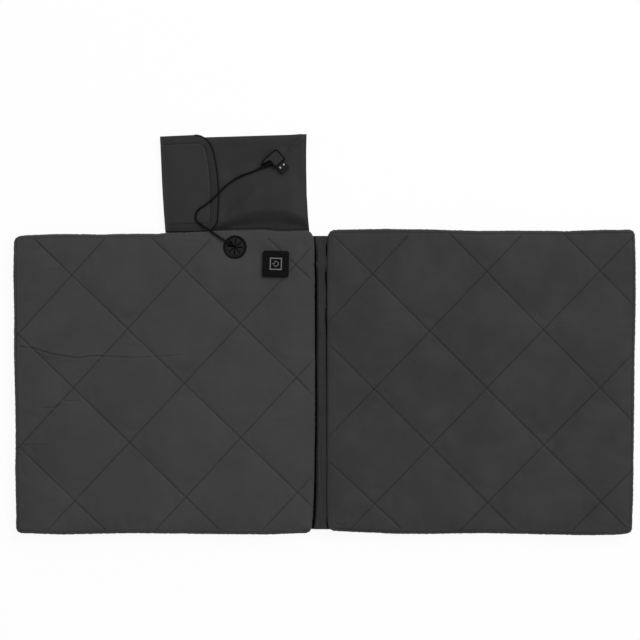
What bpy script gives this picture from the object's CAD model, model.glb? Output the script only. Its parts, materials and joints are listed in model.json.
# %% [markdown]
# # A folding heated seat cushion
# The real thing is two quilted pads joined by a strip of cloth, with a flat pouch sewn to one of
# them, a small square controller, and a thin cord that comes out of a rubber grommet.
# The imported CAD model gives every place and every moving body. This lesson makes the cloth,
# the stitching and the finishes round it. All lengths are in metres.

import json
from math import cos, pi, radians, sin

import bmesh
import bpy
import numpy as np
from bmesh.types import BMEdge, BMFace, BMVert
from mathutils import Matrix, Vector, noise
from mathutils.bvhtree import BVHTree


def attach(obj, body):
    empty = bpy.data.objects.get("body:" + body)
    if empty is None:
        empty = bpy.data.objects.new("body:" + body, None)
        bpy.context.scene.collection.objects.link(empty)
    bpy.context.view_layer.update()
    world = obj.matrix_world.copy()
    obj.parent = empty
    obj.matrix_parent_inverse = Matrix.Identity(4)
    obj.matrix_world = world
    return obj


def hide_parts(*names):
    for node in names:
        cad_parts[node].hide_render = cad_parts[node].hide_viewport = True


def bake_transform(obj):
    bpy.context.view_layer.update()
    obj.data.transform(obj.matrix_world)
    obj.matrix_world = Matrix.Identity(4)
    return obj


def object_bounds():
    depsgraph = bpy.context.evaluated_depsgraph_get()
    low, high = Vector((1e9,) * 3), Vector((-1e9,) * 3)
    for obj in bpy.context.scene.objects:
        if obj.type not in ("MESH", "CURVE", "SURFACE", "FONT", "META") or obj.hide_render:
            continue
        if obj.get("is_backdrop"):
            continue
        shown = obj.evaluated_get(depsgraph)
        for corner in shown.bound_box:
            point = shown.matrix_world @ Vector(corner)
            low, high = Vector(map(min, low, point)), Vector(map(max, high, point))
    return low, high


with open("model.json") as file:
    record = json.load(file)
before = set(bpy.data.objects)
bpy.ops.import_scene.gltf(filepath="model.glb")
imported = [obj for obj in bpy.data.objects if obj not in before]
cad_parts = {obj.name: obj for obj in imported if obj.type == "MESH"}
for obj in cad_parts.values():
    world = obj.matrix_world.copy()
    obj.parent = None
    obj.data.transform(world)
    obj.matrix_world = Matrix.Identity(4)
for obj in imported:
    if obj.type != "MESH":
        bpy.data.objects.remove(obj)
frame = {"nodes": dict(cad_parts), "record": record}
cad_low, cad_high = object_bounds()
MM = 0.001


def add_object(name, data):
    """A new object, put in the scene."""
    made = bpy.data.objects.new(name, data)
    bpy.context.collection.objects.link(made)
    return made


# %% [markdown]
# The photograph looks straight down. A long lens a few metres up keeps the two pads square, as
# they are there. The camera needs no turn: a new camera looks down, with +Y at the top.

# %% Camera
VIEW_CENTRE = (200.3 * MM, 81.9 * MM)
VIEW_WIDTH = 825.6 * MM
CAMERA_HEIGHT = 3.5
FOCUS_HEIGHT = 15 * MM  # the plane whose width fills the picture
camera_data = bpy.data.cameras.new("camera")
camera_data.lens = camera_data.sensor_width * (CAMERA_HEIGHT - FOCUS_HEIGHT) / VIEW_WIDTH
camera_data.clip_end = 50
camera = add_object("camera", camera_data)
camera.location = (*VIEW_CENTRE, CAMERA_HEIGHT)
bpy.context.scene.camera = camera
bpy.context.scene.view_settings.view_transform = "Standard"
print("lens", round(camera_data.lens, 1))

# %% [markdown]
# Colours are written as they are read in an image editor, and one function turns them to the
# linear values that the shaders want. One helper adds a node with its settings and its links, so
# that a material reads as a list of what it is made of.

# %% Colour and node helpers
def linear(hex_code):
    """A colour written as RRGGBB, in linear light with full alpha."""
    levels = [int(hex_code[place : place + 2], 16) / 255 for place in (0, 2, 4)]
    return (*[v / 12.92 if v <= 0.04045 else ((v + 0.055) / 1.055) ** 2.4 for v in levels], 1)


def add_node(tree, kind, settings=None, inputs=None):
    """A new node, with its settings, and each input set to a value or linked to a socket."""
    made = tree.nodes.new(kind)
    for key, value in (settings or {}).items():
        setattr(made, key, value)
    for key, value in (inputs or {}).items():
        if isinstance(value, bpy.types.NodeSocket):
            tree.links.new(value, made.inputs[key])
        else:
            made.inputs[key].default_value = value
    return made


def start_material(name):
    """An empty material, its node tree, and its two kinds of coordinates."""
    made = bpy.data.materials.new(name)
    made.use_nodes = True
    made.node_tree.nodes.clear()
    return made, made.node_tree, add_node(made.node_tree, "ShaderNodeTexCoord")


def end_material(tree, inputs):
    """The shader itself, with its inputs, joined to the output."""
    shader = add_node(tree, "ShaderNodeBsdfPrincipled", None, inputs)
    add_node(tree, "ShaderNodeOutputMaterial", None, {"Surface": shader.outputs["BSDF"]})


def calculated(tree, operation, *values):
    """What a math node makes of the values."""
    inputs = dict(enumerate(values))
    return add_node(tree, "ShaderNodeMath", {"operation": operation}, inputs).outputs[0]


def remapped(tree, value, low, high, from_low=0.0, from_high=1.0):
    """A value moved from one range to another."""
    inputs = {"From Min": from_low, "From Max": from_high, "To Min": low, "To Max": high}
    return add_node(tree, "ShaderNodeMapRange", None, {"Value": value, **inputs}).outputs[0]


def speckle(tree, place, size, detail, roughness=0.5):
    """Noise with features of a real size, in mm."""
    inputs = {"Vector": place, "Scale": 1 / (size * MM), "Detail": detail, "Roughness": roughness}
    return add_node(tree, "ShaderNodeTexNoise", None, inputs).outputs["Fac"]


def toned(tree, hex_code, tone):
    """A colour, lighter or darker by the tone."""
    inputs = {0: linear(hex_code)[:3], "Scale": tone}
    made = add_node(tree, "ShaderNodeVectorMath", {"operation": "SCALE"}, inputs)
    return made.outputs["Vector"]


def bumped(tree, height, strength, relief):
    """A normal tilted by a height whose range is the relief, in mm."""
    inputs = {"Strength": strength, "Distance": relief * MM, "Height": height}
    return add_node(tree, "ShaderNodeBump", None, inputs).outputs["Normal"]


# %% [markdown]
# Woven polyester is made of threads that pass over and under each other. Two sets of waves, one
# each way, multiplied together, give that over and under. Larger, softer noise gives the uneven
# shade that folded and handled cloth has. The weave is on the cloth's own map, in metres, so that
# it follows the cloth round an edge. The threads are drawn a little coarser than real ones, so
# that they show in a close view.

# %% Cloth material
WAVE_PERIOD = 0.31416  # a wave texture at scale 1 repeats over this length


MIDDLE_NOISE = (0.3, 0.7)  # most of a noise lies between these
WEAVE_TONE = (0.82, 1.18)
FUZZ_TONE = (0.94, 1.06)
FUZZ_SIZE, PATCH_SIZE = 0.9, 52


def woven_cloth(name, hex_code, thread, mottle=0.2, rough=0.85, sheen=0.05, relief=0.07, gloss=0.2):
    """Plain-woven cloth with threads a real distance apart, in mm."""
    made, tree, coordinates = start_material(name)
    uv, place = coordinates.outputs["UV"], coordinates.outputs["Object"]
    bands = {"Vector": uv, "Scale": WAVE_PERIOD / (2 * thread * MM)}
    bands |= {"Distortion": 0.6, "Detail": 1.0, "Detail Scale": 0.4}
    waves = []
    for direction in ("X", "Y"):
        wave = add_node(tree, "ShaderNodeTexWave", {"bands_direction": direction}, bands)
        waves.append(calculated(tree, "SUBTRACT", wave.outputs["Fac"], 0.5))
    weave = calculated(tree, "MULTIPLY_ADD", calculated(tree, "MULTIPLY", *waves), 2.0, 0.5)
    fuzz = speckle(tree, uv, FUZZ_SIZE, 3.0)
    patches = speckle(tree, place, PATCH_SIZE, 3.0, 0.6)
    tone = remapped(tree, patches, 1 - mottle / 2, 1 + mottle / 2, *MIDDLE_NOISE)
    tone = calculated(tree, "MULTIPLY", tone, remapped(tree, weave, *WEAVE_TONE))
    tone = calculated(tree, "MULTIPLY", tone, remapped(tree, fuzz, *FUZZ_TONE, *MIDDLE_NOISE))
    height = calculated(tree, "MULTIPLY_ADD", fuzz, 0.35, weave)
    surface = {
        "Base Color": toned(tree, hex_code, tone),
        "Roughness": rough,
        "Specular IOR Level": gloss,
        "Sheen Weight": sheen,
        "Sheen Roughness": 0.5,
        "Normal": bumped(tree, height, 0.5, relief),
    }
    end_material(tree, surface)
    return made


COATED = {"thread": 0.4, "rough": 0.6, "relief": 0.03, "gloss": 0.15}
charcoal_cloth = woven_cloth("charcoal woven polyester", "363636", 0.55)
back_cloth = woven_cloth("charcoal woven polyester of the back", "303030", 0.55, mottle=0.32)
strip_cloth = woven_cloth("charcoal strip cloth", "272727", 0.55)
lining_cloth = woven_cloth("black lining cloth", "050505", 0.5, mottle=0.1, sheen=0.0, gloss=0.02)
pouch_cloth = woven_cloth("coated polyester of the pouch", "202020", **COATED)
flap_cloth = woven_cloth("coated polyester of the flap", "222222", **COATED)
hem_cloth = woven_cloth("coated polyester of the flap's hem", "1B1B1B", **COATED)
print("cloths made")

# %% [markdown]
# Everything else on the part is moulded, drawn or stamped. Each of those finishes is a base
# colour, a typical roughness and a fine grain, and one function makes them all from a grain
# size in millimetres.

# %% Hard and other materials
TONE_SPREAD, ROUGHNESS_SPREAD = 0.08, 0.07
WEAR_SIZE = 9


def grained(name, hex_code, grain, rough, relief, metal=0.0, gloss=0.5, sheen=0.0):
    """A surface with fine random grain of a real size, in mm."""
    made, tree, coordinates = start_material(name)
    place = coordinates.outputs["Object"]
    wear = speckle(tree, place, WEAR_SIZE, 4.0)
    tone = remapped(tree, wear, 1 - TONE_SPREAD, 1 + TONE_SPREAD)
    surface = {
        "Base Color": toned(tree, hex_code, tone),
        "Roughness": remapped(tree, wear, rough - ROUGHNESS_SPREAD, rough + ROUGHNESS_SPREAD),
        "Metallic": metal,
        "Specular IOR Level": gloss,
        "Sheen Weight": sheen,
        "Normal": bumped(tree, speckle(tree, place, grain, 2.0), 0.4, relief),
    }
    end_material(tree, surface)
    return made


sewing_thread = grained("black polyester thread", "080808", 0.25, 0.7, 0.05, gloss=0.08)
FINISHES = {
    "foam": grained("open-cell foam", "CFCBBE", 1.0, 0.9, 0.4),
    "felt": grained("needled felt", "BDBBB3", 0.5, 0.95, 0.2, sheen=0.3),
    "carbon_tape": grained("woven carbon tape", "1C1C1E", 0.4, 0.45, 0.05),
    "wadding": grained("polyester wadding", "E2E2E2", 2.0, 0.95, 0.6, sheen=0.3),
    "cut_out_case": grained("moulded case of the thermostat", "D8D5CB", 0.3, 0.5, 0.02),
    "lead_sheath": grained("matt PVC sheath", "0C0C0C", 0.4, 0.6, 0.03, gloss=0.1),
    "controller_shell": grained("spark-textured ABS", "040404", 0.35, 0.5, 0.05, gloss=0.05),
    "screw_steel": grained("zinc-plated steel", "B4B4B0", 0.3, 0.35, 0.01, metal=1.0),
    "board": grained("solder mask", "123E22", 0.6, 0.35, 0.01),
    "chip": grained("moulded chip case", "161616", 0.2, 0.6, 0.02),
    "led": grained("clear lens", "D8D8CC", 0.3, 0.2, 0.005),
    "light_guide": grained("frosted light guide", "646464", 0.3, 0.4, 0.01, gloss=0.3),
    "button": grained("satin ABS", "030303", 0.3, 0.42, 0.03, gloss=0.05),
    "switch": grained("moulded switch case", "1E1E1E", 0.3, 0.5, 0.02),
    "dome": grained("spring steel", "C0C0BE", 0.2, 0.25, 0.01, metal=1.0),
    "grommet_rubber": grained("moulded rubber", "181818", 0.5, 0.62, 0.06, gloss=0.08),
    "grommet_rim": grained("black moulded rubber", "030303", 0.5, 0.62, 0.06, gloss=0.05),
    "ring_plastic": grained("moulded ring", "101010", 0.4, 0.5, 0.02, gloss=0.2),
    "cord_sheath": grained("satin PVC sheath", "050505", 0.4, 0.45, 0.02, gloss=0.06),
    "plug_moulding": grained("satin PVC overmould", "040404", 0.4, 0.42, 0.03, gloss=0.05),
    "plug_inlay": grained("soft-touch inlay of the plug", "101010", 0.4, 0.55, 0.03, gloss=0.2),
    "plug_shell": grained("dark nickel plate", "1C1C1E", 0.5, 0.35, 0.01, metal=1.0),
    "plug_tongue": grained("moulded nylon", "9C9C98", 0.3, 0.4, 0.01),
    "contact": grained("gold flash", "D4AF6A", 0.2, 0.25, 0.005, metal=1.0),
    "hook_and_loop": grained("nylon pile", "141414", 0.35, 0.9, 0.3, sheen=0.3),
}
CLOTH_SLOTS = {
    "quilted_cloth": charcoal_cloth,
    "band_cloth": strip_cloth,
    "base_cloth": lining_cloth,
    "pouch_cloth": pouch_cloth,
    "flap_cloth": flap_cloth,
}
for subpart in frame["record"]["subparts"]:
    mesh = frame["nodes"][subpart["node"]].data
    mesh.materials.clear()
    mesh.materials.append({**FINISHES, **CLOTH_SLOTS}[subpart["material_slot"]])
print("finishes", len(FINISHES))

# %% [markdown]
# The cord comes first, because its length and its place decide how much room the part takes. It
# is limp and thin: it comes up through the grommet, drops off the pad on to the flap, turns back
# and crosses the pouch to its plug. A NURBS curve with the CAD route's own points gives one smooth
# line. The cord crosses the fold between pad and pouch, so its tube is made a mesh that can bend.

# %% Power cord
CORD_DIAMETER = 2.6 * MM
CORD_ROUTE = [
    (90.0, 176.3, 15.5), (82.5, 181.3, 23.6), (71.2, 188.4, 23.2), (59.3, 196.6, 20.2),
    (48.6, 203.4, 11.9), (38.6, 212.2, 11.4), (41.4, 223.9, 11.3), (55.6, 232.2, 11.3),
    (67.2, 243.6, 11.2), (80.6, 257.4, 9.0), (97.2, 268.2, 8.9), (114.7, 273.8, 11.0),
    (125.5, 279.0, 11.0),
]


def cord_curve(name, bevel):
    """The cord's line, as a round curve or as a bare one."""
    curve = bpy.data.curves.new(name, "CURVE")
    curve.dimensions = "3D"
    curve.resolution_u = 10
    curve.bevel_depth = bevel
    curve.bevel_resolution = 4
    curve.use_fill_caps = True
    spline = curve.splines.new("NURBS")
    spline.points.add(len(CORD_ROUTE) - 1)
    for point, place in zip(spline.points, CORD_ROUTE):
        point.co = (*[v * MM for v in place], 1)
    spline.order_u = 3
    spline.use_endpoint_u = True
    return bpy.data.objects.new(name, curve)


line_mesh = bpy.data.meshes.new_from_object(cord_curve("cord_line", 0))
cord_line = [vert.co.copy() for vert in line_mesh.vertices]
cord_length = sum((b - a).length for a, b in zip(cord_line, cord_line[1:]))
cord_mesh = bpy.data.meshes.new_from_object(cord_curve("cord_tube", CORD_DIAMETER / 2))
cord_mesh.materials.clear()
cord_mesh.materials.append(FINISHES["cord_sheath"])
for face in cord_mesh.polygons:
    face.use_smooth = True
power_cord = add_object("cord", cord_mesh)
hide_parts("power_cord")
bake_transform(power_cord)
print("cord length", round(cord_length, 4), "points", len(cord_line))

# %% [markdown]
# Small tools that every piece uses: they read and set a bmesh's points, make a grid, a spun shape
# or a copy of a CAD mesh, map cloth in metres from whichever way each face looks, and turn a
# bmesh into a finished object.

# %% Piece helpers
def smooth_step(value, low, high):
    """0 below low, 1 above high, and an even slope between."""
    t = np.clip((value - low) / (high - low), 0, 1)
    return t * t * (3 - 2 * t)


def coordinates_of(bm):
    """Every vertex's place, as an array."""
    bm.verts.ensure_lookup_table()
    return np.array([vert.co for vert in bm.verts])


def set_coordinates(bm, places):
    """Moves every vertex to its place."""
    for vert, place in zip(bm.verts, places):
        vert.co = place


def cloth_map(mesh):
    """A map in metres: each face is laid flat along the axis that it faces."""
    layer = mesh.uv_layers.new(name="cloth")
    flat_axes = {0: (1, 2), 1: (0, 2), 2: (0, 1)}
    values = np.zeros((len(mesh.loops), 2))
    corner_vert = np.zeros(len(mesh.loops), int)
    mesh.loops.foreach_get("vertex_index", corner_vert)
    places = np.zeros(len(mesh.vertices) * 3)
    mesh.vertices.foreach_get("co", places)
    places = places.reshape(-1, 3)
    for face in mesh.polygons:
        facing = max(range(3), key=lambda axis: abs(face.normal[axis]))
        corners = slice(face.loop_start, face.loop_start + face.loop_total)
        values[corners] = places[corner_vert[corners]][:, flat_axes[facing]]
    layer.data.foreach_set("uv", values.ravel())


def only(kind, geometry):
    """The vertices, edges or faces in what an operator made."""
    return [item for item in geometry if isinstance(item, kind)]


def merged_copy(node):
    """The mesh of a CAD node, whose loose triangles are joined."""
    bm = bmesh.new()
    bm.from_mesh(frame["nodes"][node].data)
    bmesh.ops.remove_doubles(bm, verts=bm.verts[:], dist=0.001 * MM)
    return bm


def cloth_grid(width, length, cell_x, cell_y):
    """A flat grid from (0, 0) to (width, length)."""
    bm = bmesh.new()
    half = (width / 2, length / 2)
    place = Matrix.Translation((*half, 0)) @ Matrix.Diagonal((*half, 1, 1))
    cells_x, cells_y = max(1, round(width / cell_x)), max(1, round(length / cell_y))
    bmesh.ops.create_grid(bm, x_segments=cells_x, y_segments=cells_y, size=1, matrix=place)
    return bm


def unit_grid(cells_x, cells_y):
    """A grid of shares from 0 to 1 each way, and the shares of its vertices."""
    bm = cloth_grid(1, 1, 1 / cells_x, 1 / cells_y)
    return bm, coordinates_of(bm)


def spun(profile, steps, closed):
    """A profile of radius and height in mm, turned once round the Z axis."""
    bm = bmesh.new()
    verts = [bm.verts.new((radius * MM, 0, height * MM)) for radius, height in profile]
    pairs = zip(verts, verts[1:] + (verts[:1] if closed else []))
    profile_edges = [bm.edges.new(pair) for pair in pairs]
    turn = {"cent": (0, 0, 0), "axis": (0, 0, 1), "angle": 2 * pi, "steps": steps}
    bmesh.ops.spin(bm, geom=verts + profile_edges, use_merge=True, **turn)
    return bm


def thicken(piece, thickness, offset):
    """Gives cloth its real thickness."""
    solid = piece.modifiers.new("thickness", "SOLIDIFY")
    solid.thickness = thickness
    solid.offset = offset


def make_piece(name, bm, materials, body, mapped=False, smooth=True):
    """A finished object from a bmesh, riding on its body."""
    mesh = bpy.data.meshes.new(name)
    bm.normal_update()
    bm.to_mesh(mesh)
    bm.free()
    for face in mesh.polygons:
        face.use_smooth = smooth
    for material in materials:
        mesh.materials.append(material)
    if mapped:
        cloth_map(mesh)
    piece = add_object(name, mesh)
    if body:
        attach(piece, body)
    print(name, "faces", len(mesh.polygons))
    return piece


def noise_at(places, size, seed):
    """Smooth noise from -1 to 1 at each place, with features of a real size in metres."""
    shift = Vector((seed * 7.3, seed * 3.1, seed * 5.7))
    return np.array([noise.noise(Vector(place) / size + shift) for place in places])


# %% [markdown]
# A quilted pad is a closed bag of cloth over foam. Straight lines of stitches in two directions
# hold the top cloth down, and it swells between them. A band with a seam top and bottom goes
# round the edge. The pad starts as a fine grid of cloth with its border folded down in rings,
# because that keeps even squares for the simulation, and a hole can be cut for each fitting.

# %% Pad sizes and lines
CELL = 3.0 * MM
SEAM_INSET = 4.0 * MM
SEAM_HEIGHT = 18.0 * MM
TOP_HEIGHT = 19.4 * MM
CROWN = 1.5 * MM
PUFF_REACH = 20.0 * MM
CORNER = 3.2 * MM
# How far the band stands out from the seam, and how high, ring by ring from the top seam down
BAND_RINGS = [
    (1.0, 18.9),
    (2.3, 18.2),
    (3.3, 16.2),
    (3.9, 13.2),
    (4.0, 10.0),
    (3.9, 6.8),
    (3.3, 3.8),
    (2.3, 1.6),
    (1.0, 0.7),
    (0.0, 0.5),
]
# Lines, sides and lip are read off the photograph, in mm. A side is how far the outline stands out
# along +X or +Y at a place along it, and the lip is how far the band bulges over the pouch.
PADS = {
    "seat": {
        "low": (-194.0, -193.0),
        "high": (194.0, 193.0),
        "lines": [
            ((-184.4, -84.7), (-82.8, -182.4)),
            ((-185.5, 60.4), (65.2, -183.1)),
            ((-165.6, 184.0), (184.5, -153.0)),
            ((-12.8, 184.1), (185.2, -8.1)),
            ((136.1, 185.0), (185.0, 137.5)),
            ((130.6, -184.5), (184.4, -125.9)),
            ((-8.2, -184.8), (184.5, 23.3)),
            ((-147.2, -184.8), (184.6, 170.3)),
            ((-185.5, -79.8), (56.9, 184.3)),
            ((-185.5, 67.4), (-78.5, 185.0)),
        ],
        "left": [
            (-193, 1.7), (-170, 2.0), (-105, 0.8), (-60, 1.4), (48, -1.0), (80, -0.5),
            (140, -1.5), (193, -0.8),
        ],
        "right": [
            (-193, -4.8), (-185, -4.2), (-170, -2.8), (-141, -1.5), (-60, -0.3), (0, -0.1),
            (108, -0.6), (172, -0.8), (182, -1.6), (193, -3.6),
        ],
        "top": [
            (-194, -3.5), (-178, -1.5), (-148, -0.3), (-130, 0.0), (-86, -0.6), (-40, 0.3),
            (0, 0.2), (180, 1.5), (194, 3.2),
        ],
        "bottom": [
            (-194, -0.4), (-178, -0.6), (-132, -2.2), (-86, -1.0), (-40, -0.4), (22, -0.8),
            (50, -1.4), (130, -2.1), (180, -0.4),
        ],
        "lip": [
            (-8, 0.0), (2, 1.4), (30, 1.8), (46, 2.4), (60, 3.0), (78, 3.4), (97, 3.4),
            (125, 3.9), (155, 1.7), (175, 2.5), (188, 2.2), (194, 0.0),
        ],
    },
    "back": {
        "low": (211.0, -193.0),
        "high": (607.0, 198.0),
        "lines": [
            ((219.4, -107.2), (302.8, -184.8)),
            ((219.3, 43.1), (447.5, -184.8)),
            ((221.7, 187.1), (594.3, -184.8)),
            ((371.9, 188.4), (596.1, -41.4)),
            ((519.1, 188.6), (597.3, 107.8)),
            ((530.0, -184.9), (598.4, -115.4)),
            ((385.9, -184.7), (598.6, 33.2)),
            ((242.2, -184.8), (598.8, 183.9)),
            ((220.5, -58.8), (457.2, 188.0)),
            ((219.8, 88.6), (312.1, 189.1)),
        ],
        "left": [
            (-193, 0.0), (-178, -1.8), (-150, -2.2), (0, -2.0), (150, -2.2), (186, -1.4),
            (198, 0.6),
        ],
        "right": [
            (-193, -3.6), (-180, -3.8), (-168, -3.4), (-155, -2.5), (-60, -1.3), (33, -0.4),
            (110, 1.0), (150, 0.9), (188, -0.1),
        ],
        "top": [
            (211, 0.3), (249, 1.2), (285, 1.5), (347, 0.7), (409, -1.0), (471, -0.6), (517, -1.3),
            (564, 0.5), (590, 0.5), (607, 0.9),
        ],
        "bottom": [
            (211, 2.8), (254, 0.8), (300, -1.4), (345, -1.4), (409, -0.2), (502, -2.1),
            (548, -3.1), (585, -2.4), (600, -0.9),
        ],
        "lip": [(211, 0.0), (607, 0.0)],
    },
}
print("rings in the band", len(BAND_RINGS))


# %% Quilt line distances
def pad_box(pad, inset=0):
    """The pad's low and high corners in plan, drawn in by the inset."""
    return np.array(pad["low"]) * MM + inset, np.array(pad["high"]) * MM - inset


def quilt_lines(pad):
    """Each stitched line as a point on it and the direction across it."""
    found = []
    for start, end in pad["lines"]:
        run = (Vector(end) - Vector(start)).normalized()
        found.append((Vector(start) * MM, Vector((-run.y, run.x))))
    return found


def line_distance(pad, places):
    """How far each place is from the nearest stitched line."""
    nearest = np.full(len(places), 1.0)
    for point, across in quilt_lines(pad):
        away = np.abs((places[:, 0] - point.x) * across.x + (places[:, 1] - point.y) * across.y)
        nearest = np.minimum(nearest, away)
    return nearest


def edge_distance(pad, places):
    """How far inside the top seam each place is."""
    low, high = pad_box(pad, SEAM_INSET)
    inside = np.minimum(places[:, :2] - low, high - places[:, :2])
    return inside.min(axis=1)


for name, pad in PADS.items():
    print(name, "lines", len(quilt_lines(pad)))


# %% [markdown]
# The grid's square corners are rounded by a small push, and its border goes outwards and down
# ring by ring. The underside is a second grid that meets the last ring.

# %% Closed pad of cloth
def round_corners(places, middle, half, radius):
    """Pushes a rectangle's corners in to a radius, with the cells behind them."""
    inner = half - radius
    local = places[:, :2] - middle
    over = np.maximum(np.abs(local) - inner, 0) / radius
    both = (over > 0).all(axis=1)
    reach = np.maximum(np.hypot(over[:, 0], over[:, 1]), 1e-9)
    scale = np.where(both, over.max(axis=1) / reach, 1)
    pushed = np.sign(local) * (inner + over * scale[:, None] * radius)
    out = places.copy()
    out[:, :2] = np.where(both[:, None], middle + pushed, places[:, :2])
    return out


def pad_bmesh(pad):
    """A closed, flat-topped pad of square cells, with a banded edge."""
    low, high = pad_box(pad, SEAM_INSET)
    middle = (low + high) / 2
    half = (high - low) / 2
    cells_x, cells_y = (round(side) for side in 2 * half / CELL)
    bm = bmesh.new()
    place = Matrix.Translation((*middle, SEAM_HEIGHT)) @ Matrix.Diagonal((*half, 1, 1))
    bmesh.ops.create_grid(bm, x_segments=cells_x, y_segments=cells_y, size=1, matrix=place)
    set_coordinates(bm, round_corners(coordinates_of(bm), middle, half, CORNER))
    under = bmesh.ops.duplicate(bm, geom=bm.verts[:] + bm.edges[:] + bm.faces[:])["geom"]
    drop = (0, 0, BAND_RINGS[-1][1] * MM - SEAM_HEIGHT)
    bmesh.ops.translate(bm, verts=only(BMVert, under), vec=drop)
    bmesh.ops.reverse_faces(bm, faces=only(BMFace, under))
    border = [e for e in bm.edges if e.is_boundary and e.verts[0].co.z > SEAM_HEIGHT / 2]
    plan = None
    for outset, height in BAND_RINGS:
        new = bmesh.ops.extrude_edge_only(bm, edges=border)["geom"]
        border, ring = only(BMEdge, new), only(BMVert, new)
        if plan is None:
            plan = np.array([vert.co[:2] for vert in ring])
        local = plan - middle
        corner_centre = np.sign(local) * np.minimum(np.abs(local), half - CORNER)
        outward = local - corner_centre
        outward /= np.maximum(np.hypot(outward[:, 0], outward[:, 1]), 1e-9)[:, None]
        for vert, at, way in zip(ring, plan, outward):
            vert.co = (*(at + way * outset * MM), height * MM)
    bmesh.ops.remove_doubles(bm, verts=bm.verts[:], dist=0.02 * MM)
    bmesh.ops.recalc_face_normals(bm, faces=bm.faces[:])
    return bm


# %% [markdown]
# The controller and the grommet clamp the cloth, so it lies flat and low under them, and it has a
# hole where each one goes through. Everywhere else it swells away from the stitched lines.

# %% Swell
# Each fitting: its centre, how far it presses the cloth flat, whether it is square, its turn in
# degrees, and the reach of its hole, in mm
HELD = {
    "seat": [((143.5, 154.2), 17.6, True, -1.5, 11.7), ((90.8, 175.8), 14.6, False, 0, 10.0)],
    "back": [],
}
HELD_HEIGHT = 19.9 * MM
# Where the top seams run beside the fold and the pouch: the cloth rolls over them with no groove
FOLD_SEAM = {"seat": 190 * MM, "back": 215 * MM}
POUCH_SEAM = 189 * MM
FOLD_SEAM_LIFT, POUCH_SEAM_LIFT = 0.85 * MM, 0.7 * MM
# How far in from a side its outline is followed, in full and at all
SIDE_FADE = (4 * MM, 45 * MM)
# The lip over the pouch: between which heights it comes out and goes back, how much it lifts, how
# far the band below it tucks in at most, and between which heights that ends, in mm
LIP_OUT, LIP_BACK, LIP_LIFT = (10.2, 12.5), (17.9, 18.9), 0.5
LIFT_OUT, LIFT_BACK = (12, 16), (17.4, 18.8)
TUCK_MOST, TUCK_END = 2.6 * MM, (2.5, 9)


def held_distance(name, places):
    """How far outside the nearest fitting each place is, and how far outside its hole."""
    rim = np.full(len(places), 1.0)
    hole = np.full(len(places), 1.0)
    for centre, reach, square, turn, cut in HELD[name]:
        local = places[:, :2] - np.array(centre) * MM
        c, s = cos(radians(-turn)), sin(radians(-turn))
        turned = np.stack([local[:, 0] * c - local[:, 1] * s, local[:, 0] * s + local[:, 1] * c], 1)
        away = np.abs(turned).max(axis=1) if square else np.hypot(turned[:, 0], turned[:, 1])
        rim = np.minimum(rim, away - reach * MM)
        hole = np.minimum(hole, away - cut * MM)
    return rim, hole


def swollen_top(name, places):
    """The top cloth's height: seam, stitched lines and fittings hold it down."""
    pad = PADS[name]
    edge = edge_distance(pad, places)
    line = line_distance(pad, places)
    near = np.minimum(line, edge)
    height = TOP_HEIGHT + CROWN * (1 - np.exp(-near / PUFF_REACH))
    height = SEAM_HEIGHT + (height - SEAM_HEIGHT) * smooth_step(edge, -1.5 * MM, 4.0 * MM)
    off_fold = np.abs(places[:, 0] - FOLD_SEAM[name])
    height += FOLD_SEAM_LIFT * (1 - smooth_step(off_fold, 0, 10 * MM))
    if name == "seat":
        by_pouch = smooth_step(places[:, 0], -8 * MM, 4 * MM)
        off_pouch = np.abs(places[:, 1] - POUCH_SEAM)
        height += POUCH_SEAM_LIFT * by_pouch * (1 - smooth_step(off_pouch, 0, 8 * MM))
    rim = held_distance(name, places)[0]
    free = smooth_step(rim, 0.5 * MM, 9 * MM)
    return HELD_HEIGHT + (height - HELD_HEIGHT) * free


def side_wave(places, pad):
    """The pad's sides aren't straight: each one follows what was read along it."""
    out = places.copy()
    low, high = pad_box(pad)
    sides = (("left", 1, 0, low[0], 1), ("right", 1, 0, high[0], -1))
    sides += (("bottom", 0, 1, low[1], 1), ("top", 0, 1, high[1], -1))
    for side, along, across, wall, way in sides:
        at, move = np.array(pad[side]).T * MM
        shift = np.interp(places[:, along], at, move)
        fade = 1 - smooth_step(way * (places[:, across] - wall), *SIDE_FADE)
        out[:, across] += shift * fade
    at, move = np.array(pad["lip"]).T * MM
    height = places[:, 2] / MM
    lip = np.interp(places[:, 0], at, move) * (places[:, 1] > high[1] - 3.2 * MM)
    out[:, 1] += lip * smooth_step(height, *LIP_OUT) * (1 - smooth_step(height, *LIP_BACK))
    out[:, 1] -= np.minimum(lip, TUCK_MOST) * (1 - smooth_step(height, *TUCK_END))
    lift = LIP_LIFT * lip * smooth_step(height, *LIFT_OUT)
    out[:, 2] += lift * (1 - smooth_step(height, *LIFT_BACK))
    return out


def top_mask(places):
    """Which vertices are on the top cloth."""
    return places[:, 2] > SEAM_HEIGHT - 0.05 * MM


print("held places on the seat", len(HELD["seat"]))

# %% [markdown]
# The pad is blown up a little by Blender's cloth simulation, with the seams, the stitched lines
# and the underside pinned. The cloth is cut slightly larger than the pad, as real cover cloth is,
# so the spare length makes the small wrinkles that no formula gives.

# %% Cloth simulation
SIM_FRAMES = 16
SIM_CAP = 2.2 * MM
CLOTH = {
    "quality": 5,
    "mass": 0.15,
    "tension_stiffness": 20,
    "compression_stiffness": 20,
    "bending_stiffness": 0.3,
    "vertex_group_mass": "pinned",
    "use_pressure": True,
    "uniform_pressure_force": 3.0,
    "shrink_min": -0.006,
}


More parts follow.
